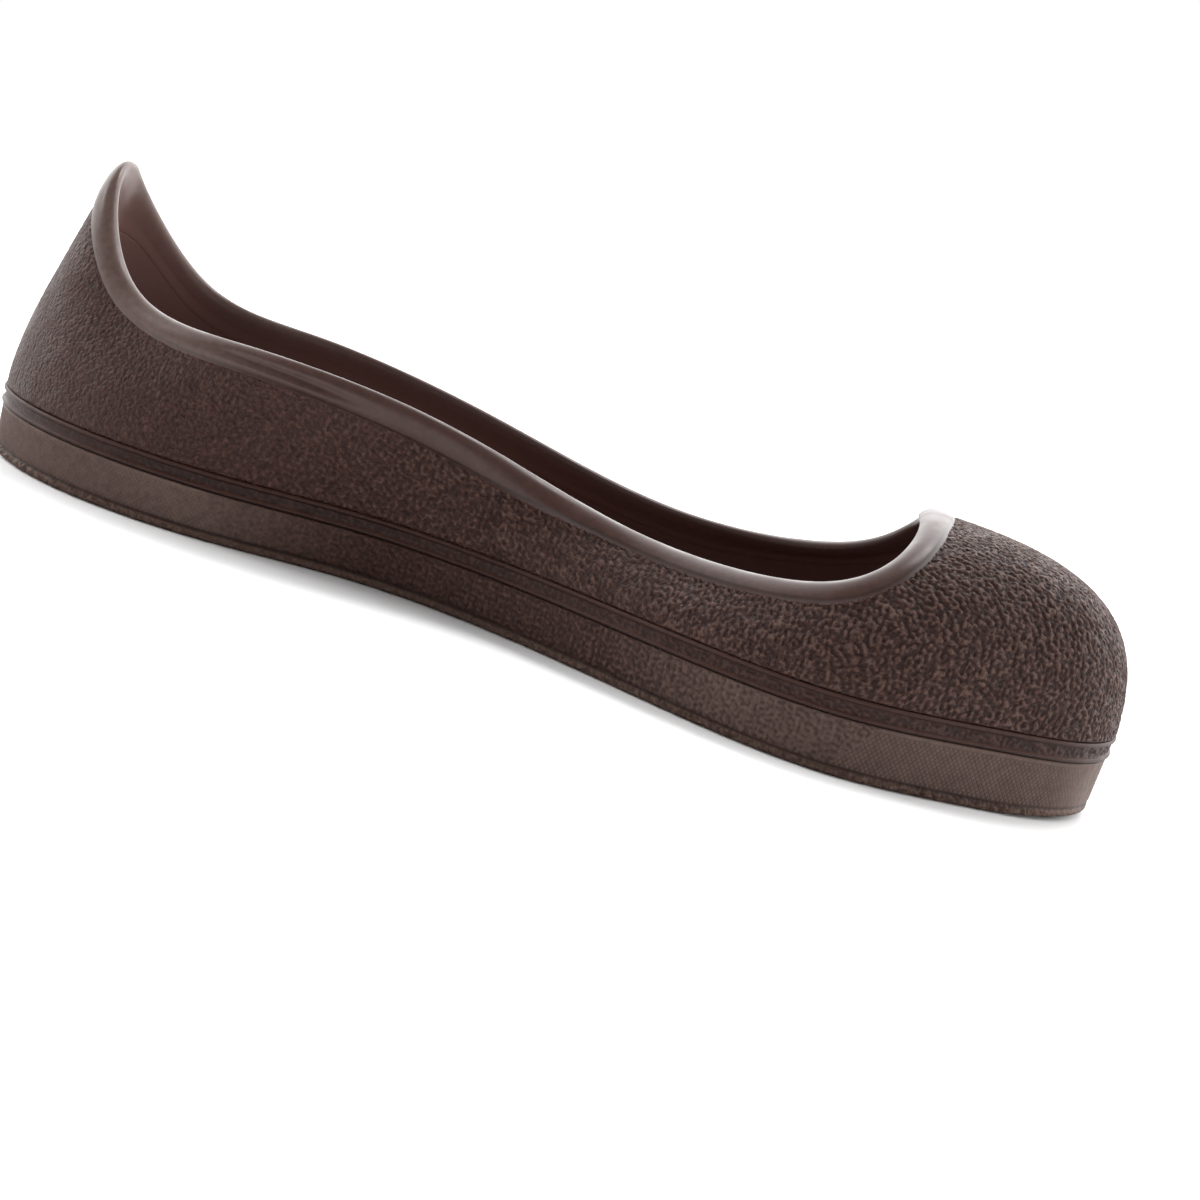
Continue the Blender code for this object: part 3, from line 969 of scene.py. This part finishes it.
def rubber_colour(nodes, pitted):
    """Painted shade in the pits, painted highlights on the ridges, painted light towards the sole's
    ends and on the heel's bead, faint mottling, dust and speckle, and the inside, paler as
    painted light.
    """
    relief = nodes.value("relief")
    # Painted shade in the pits, and on the next line a painted highlight on the ridges.
    colour = nodes.blend(nodes.span(relief, *PAINTED_SHADE_IN_PITS), opaque(PAINTED_PIT_SHADE), opaque(RUBBER))
    colour = nodes.blend(nodes.span(relief, *PAINTED_HIGHLIGHT_ON_RIDGES), colour, opaque(PAINTED_RIDGE_HIGHLIGHT))
    if pitted:
        # Painted shade in the small pits between the ridges.
        pits = nodes.span(small_grain(nodes), *SMALL_PITS_PAINTED_SHADE)
        colour = nodes.blend(pits, colour, opaque(PAINTED_PIT_SHADE))
    # Painted light: paler colour where the mesh gives a share of it, above the pits.
    painted_light = nodes.math("MULTIPLY", nodes.value("knurl"), nodes.span(relief, *PAINTED_LIGHT_ABOVE_PITS))
    colour = nodes.blend(painted_light, colour, opaque(PAINTED_LIGHT_COLOUR))
    mottle = nodes.span(nodes.noise(MOTTLE_SIZE, detail=3.0), *MOTTLE)
    colour = nodes.blend(mottle, colour, opaque(WORN_DUST))
    edge = nodes.math("MULTIPLY", nodes.value("edge"), FRAYED_STRENGTH)
    colour = nodes.blend(edge, colour, opaque(FRAYED))
    speckle = nodes.span(nodes.noise(SPECKLE_SIZE, detail=4.0, rough=0.65), *SPECKLE)
    tint = nodes.new("ShaderNodeCombineColor")
    for channel in ("Red", "Green", "Blue"):
        nodes.feed(tint.inputs[channel], speckle)
    colour = nodes.blend(1.0, colour, tint.outputs["Color"], kind="MULTIPLY")
    # The inside's colour, paler than the rubber outside as painted light.
    return nodes.blend(nodes.value("inside"), colour, opaque(INSIDE_TONE_AND_PAINTED_LIGHT))


def rubber_normal(nodes, fine_bump, grain_bump):
    """Small grain on the outside, held back inside and where the colour is painted paler, as on
    the knurled panels, and fine grain everywhere.
    """
    normal = None
    if grain_bump:
        marked = nodes.math("MAXIMUM", nodes.value("inside"), nodes.value("knurl"))
        outside = nodes.math("SUBTRACT", 1.0, marked)
        normal = nodes.bump(small_grain(nodes), grain_bump, outside)
    fine = nodes.noise(FINE_SIZE, detail=2.0, rough=0.6)
    return nodes.bump(fine, fine_bump, 1.0, normal)


def rubber(name, roughness, gloss, fine_bump, grain_bump=0.0):
    """Matt moulded rubber. The bumps are depths of its fine and its small grain."""
    material = bpy.data.materials.new(name)
    material.use_nodes = True
    nodes = Nodes(material.node_tree)
    shader = material.node_tree.nodes["Principled BSDF"]
    nodes.feed(shader.inputs["Base Color"], rubber_colour(nodes, pitted=grain_bump > 0))
    least, most = (roughness + change for change in SHEEN_CHANGE)
    rough = nodes.span(nodes.noise(SHEEN_SIZE, detail=3.0), *SHEEN, least, most)
    nodes.feed(shader.inputs["Roughness"], rough)
    shader.inputs["Specular IOR Level"].default_value = gloss
    nodes.feed(shader.inputs["Normal"], rubber_normal(nodes, fine_bump, grain_bump))
    return material


def sole_rubber():
    return rubber("sole_rubber_looks", roughness=0.60, gloss=0.18, fine_bump=0.00005, grain_bump=0.00050)


def welt_rubber():
    return rubber("welt_rubber_looks", roughness=0.50, gloss=0.16, fine_bump=0.00003)


def upper_rubber():
    return rubber("upper_rubber_looks", roughness=0.50, gloss=0.15, fine_bump=0.00005, grain_bump=0.00080)


def rim_rubber():
    return rubber("rim_rubber_looks", roughness=0.38, gloss=0.32, fine_bump=0.00001)


def floor_paint():
    material = bpy.data.materials.new("pale_floor")
    material.use_nodes = True
    shader = material.node_tree.nodes["Principled BSDF"]
    shader.inputs["Base Color"].default_value = opaque(FLOOR_COLOUR)
    shader.inputs["Roughness"].default_value = FLOOR_ROUGHNESS
    return material


def dress(piece, node):
    """Puts a piece in the place of its solid."""
    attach(piece, "root")
    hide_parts(node)


def make_pieces():
    foot = Foot(UPPER_STATIONS)
    wall = Wall(foot)
    dress(make_outsole(Foot(None), sole_rubber()), "outsole")
    dress(make_welt_strip(foot, welt_rubber()), "welt_strip")
    dress(make_upper(foot, wall, upper_rubber()), "upper_shell")
    dress(make_rim(foot, wall, rim_rubber()), "topline_rim")


def make_floor():
    mesh = bpy.data.meshes.new("floor")
    reach = FLOOR_REACH
    corners = [(-reach, -reach, 0), (reach, -reach, 0), (reach, reach, 0), (-reach, reach, 0)]
    mesh.from_pydata(corners, [], [(0, 1, 2, 3)])
    mesh.materials.append(floor_paint())
    floor = bpy.data.objects.new("floor", mesh)
    floor.location.z = -FLOOR_DROP
    bpy.context.scene.collection.objects.link(floor)


def turn_about(axis, degrees):
    return np.array(Matrix.Rotation(math.radians(degrees), 3, axis))


def make_camera():
    """Camera placed as the photograph's was to this overshoe, rolled as it was."""
    # Right, down and forward of a camera that looks straight at the arch side
    facing = np.array([[1.0, 0.0, 0.0], [0.0, 0.0, -1.0], [0.0, 1.0, 0.0]])
    tilt = turn_about("Z", CAMERA_ROLL) @ turn_about("X", CAMERA_ELEVATION)
    turn = tilt @ turn_about("Y", CAMERA_YAW) @ facing
    offset = (np.array(MIDDLE_PIXEL) - FRAME_PIXELS / 2) / FOCAL_PIXELS * CAMERA_DISTANCE
    place = -turn.T @ np.array([*offset, CAMERA_DISTANCE])
    axes = np.column_stack([turn[0], -turn[1], -turn[2]])
    lens = bpy.data.cameras.new("photo_camera")
    lens.sensor_width = SENSOR_WIDTH
    lens.lens = SENSOR_WIDTH * FOCAL_PIXELS / FRAME_PIXELS
    lens.clip_start = CLIP_START
    camera = bpy.data.objects.new("photo_camera", lens)
    camera.matrix_world = Matrix.Translation(Vector(place)) @ Matrix(axes.tolist()).to_4x4()
    bpy.context.scene.collection.objects.link(camera)
    bpy.context.scene.camera = camera
    print("camera at", [round(value, 4) for value in place])


def make_world():
    """White studio room: a bright band behind, above the horizon, and a light all round."""
    world = bpy.data.worlds.new("studio")
    world.use_nodes = True
    bpy.context.scene.world = world
    nodes = Nodes(world.node_tree)
    background = world.node_tree.nodes["Background"]
    direction = nodes.new("ShaderNodeTexCoord").outputs["Generated"]
    axes = nodes.new("ShaderNodeSeparateXYZ")
    nodes.feed(axes.inputs[0], direction)
    height = axes.outputs["Z"]
    side = nodes.math("MULTIPLY", nodes.math("ABSOLUTE", axes.outputs["X"]), SIDE_SHARE)
    behind = nodes.span(nodes.math("ADD", axes.outputs["Y"], side), *BEHIND)
    below_top = nodes.span(height, *DIMS_OVERHEAD)
    above_horizon = nodes.span(height, *DIMS_AT_HORIZON)
    bright = nodes.math("MULTIPLY", above_horizon, BAND_BRIGHTNESS)
    band = nodes.math("MULTIPLY", nodes.math("MULTIPLY", behind, below_top), bright)
    level = nodes.math("ADD", band, nodes.span(height, *LIGHT_ALL_ROUND))
    seen = nodes.new("ShaderNodeLightPath").outputs["Is Camera Ray"]
    strength = nodes.new("ShaderNodeMix", data_type="FLOAT")
    nodes.feed(strength.inputs["Factor"], seen)
    nodes.feed(strength.inputs["A"], level)
    nodes.feed(strength.inputs["B"], 1.0)
    nodes.feed(background.inputs["Strength"], strength.outputs["Result"])
    background.inputs["Color"].default_value = (1.0, 1.0, 1.0, 1.0)


def soft_light(name, place, aim, size, power):
    light = bpy.data.lights.new(name, "AREA")
    light.shape = "DISK"
    light.size = size
    light.energy = power
    lamp = bpy.data.objects.new(name, light)
    lamp.location = place
    lamp.rotation_euler = (Vector(aim) - Vector(place)).to_track_quat("-Z", "Y").to_euler()
    bpy.context.scene.collection.objects.link(lamp)


make_pieces()
make_floor()
make_camera()
make_world()
soft_light("left", place=(-0.80, -0.12, 0.50), aim=(0.0, 0.0, 0.03), size=0.25, power=1.7)
soft_light("top", place=(0.20, 0.30, 0.85), aim=(0.05, 0.0, 0.03), size=0.30, power=4.0)
bpy.context.scene.view_settings.view_transform = "Standard"
